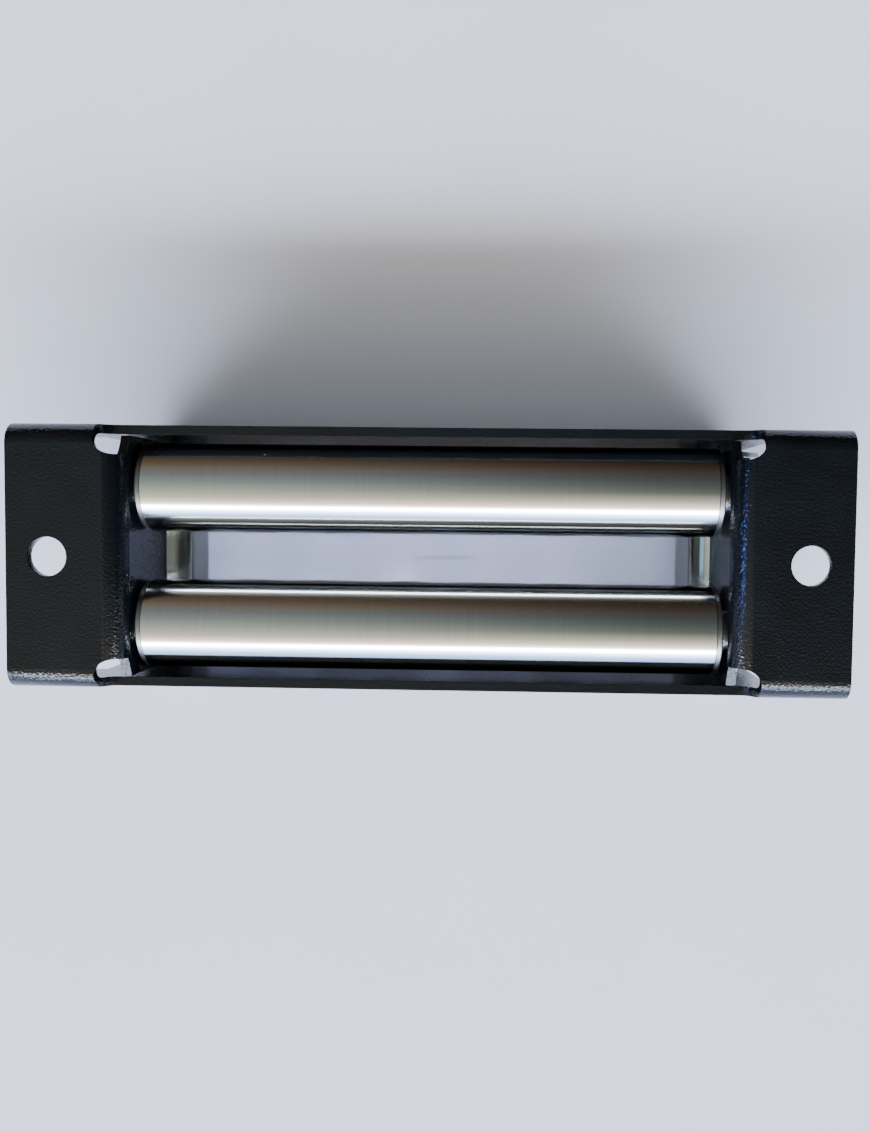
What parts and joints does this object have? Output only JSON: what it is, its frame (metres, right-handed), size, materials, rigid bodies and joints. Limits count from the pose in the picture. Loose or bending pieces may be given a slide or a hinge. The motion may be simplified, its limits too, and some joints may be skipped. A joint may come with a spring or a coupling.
{
  "type": "roller fairlead",
  "caption": "Winch roller fairlead: long and short steel rollers on pins box in the rope window of a black folded plate frame with bolt ears.",
  "frame": {"origin": "on the mounting face, midway between the two bolt holes", "axes": "+Z out of the mounting face towards what it bolts to, +X along the long rollers, +Y along the short rollers"},
  "size_m": [0.308, 0.1059, 0.086],
  "materials": {
    "black_paint": "glossy black powder coat with a fine hammered grain",
    "roller_steel": "fine-turned bright zinc-plated steel",
    "bush_steel": "satin grey sintered steel",
    "zinc_plate": "bright zinc plate",
    "clip_steel": "blued spring steel"
  },
  "bodies": {
    "frame_body": {"frame": "black_paint", "upper_washer_left": "zinc_plate", "upper_washer_right": "zinc_plate", "upper_pin": "zinc_plate", "upper_clip": "clip_steel", "lower_washer_left": "zinc_plate", "lower_washer_right": "zinc_plate", "lower_pin": "zinc_plate", "lower_clip": "clip_steel", "left_washer_top": "zinc_plate", "left_washer_bottom": "zinc_plate", "left_pin": "zinc_plate", "left_clip": "clip_steel", "right_washer_top": "zinc_plate", "right_washer_bottom": "zinc_plate", "right_pin": "zinc_plate", "right_clip": "clip_steel"},
    "upper_roller_body": {"upper_roller": "roller_steel", "upper_bush_left": "bush_steel", "upper_bush_right": "bush_steel"},
    "lower_roller_body": {"lower_roller": "roller_steel", "lower_bush_left": "bush_steel", "lower_bush_right": "bush_steel"},
    "left_roller_body": {"left_roller": "roller_steel", "left_bush_top": "bush_steel", "left_bush_bottom": "bush_steel"},
    "right_roller_body": {"right_roller": "roller_steel", "right_bush_top": "bush_steel", "right_bush_bottom": "bush_steel"}
  },
  "joints": [
    {"name": "upper_roller_spin", "type": "hinge", "parent": "frame_body", "child": "upper_roller_body", "pos_m": [0, 0.02625, -0.024], "axis": [1, 0, 0], "continuous": true},
    {"name": "lower_roller_spin", "type": "hinge", "parent": "frame_body", "child": "lower_roller_body", "pos_m": [0, -0.02625, -0.024], "axis": [1, 0, 0], "continuous": true},
    {"name": "left_roller_spin", "type": "hinge", "parent": "frame_body", "child": "left_roller_body", "pos_m": [-0.118, 0, -0.067], "axis": [0, 1, 0], "continuous": true},
    {"name": "right_roller_spin", "type": "hinge", "parent": "frame_body", "child": "right_roller_body", "pos_m": [0.118, 0, -0.067], "axis": [0, 1, 0], "continuous": true}
  ]
}
